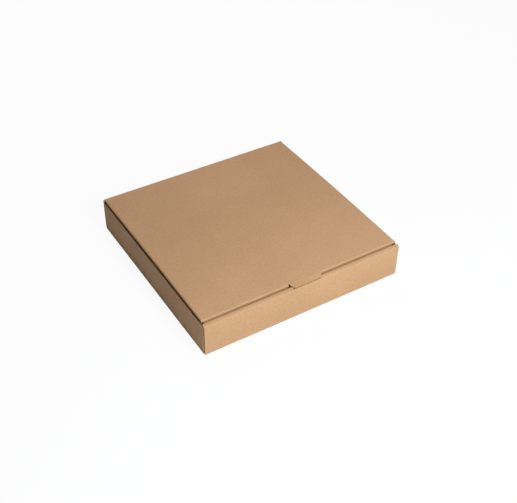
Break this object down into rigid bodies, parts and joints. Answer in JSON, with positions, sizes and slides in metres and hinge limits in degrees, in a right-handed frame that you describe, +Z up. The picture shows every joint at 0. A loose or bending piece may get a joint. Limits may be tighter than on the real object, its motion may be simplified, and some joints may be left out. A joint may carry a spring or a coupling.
{
  "type": "pizza box",
  "caption": "Flat square take-away box of brown corrugated board with a rolled double front wall and a hinged lid that tucks in, thumb tab at the front edge.",
  "frame": {"origin": "middle of the underside, on the surface the box rests on", "axes": "+Z up, -Y out of the front wall with the thumb tab, +Y towards the lid's hinge fold, +X to the right of someone facing the front wall"},
  "size_m": [0.305, 0.298, 0.0555],
  "materials": {
    "kraft_board": "matte unbleached kraft liner on fine-flute corrugated board, bare brown inside and out"
  },
  "bodies": {
    "tray": {"tray": "kraft_board"},
    "lid": {"lid": "kraft_board"}
  },
  "joints": [
    {"name": "lid_hinge", "type": "hinge", "parent": "tray", "child": "lid", "pos_m": [0, 0.14825, 0.05325], "axis": [-1, 0, 0], "range_deg": [0, 180]}
  ]
}
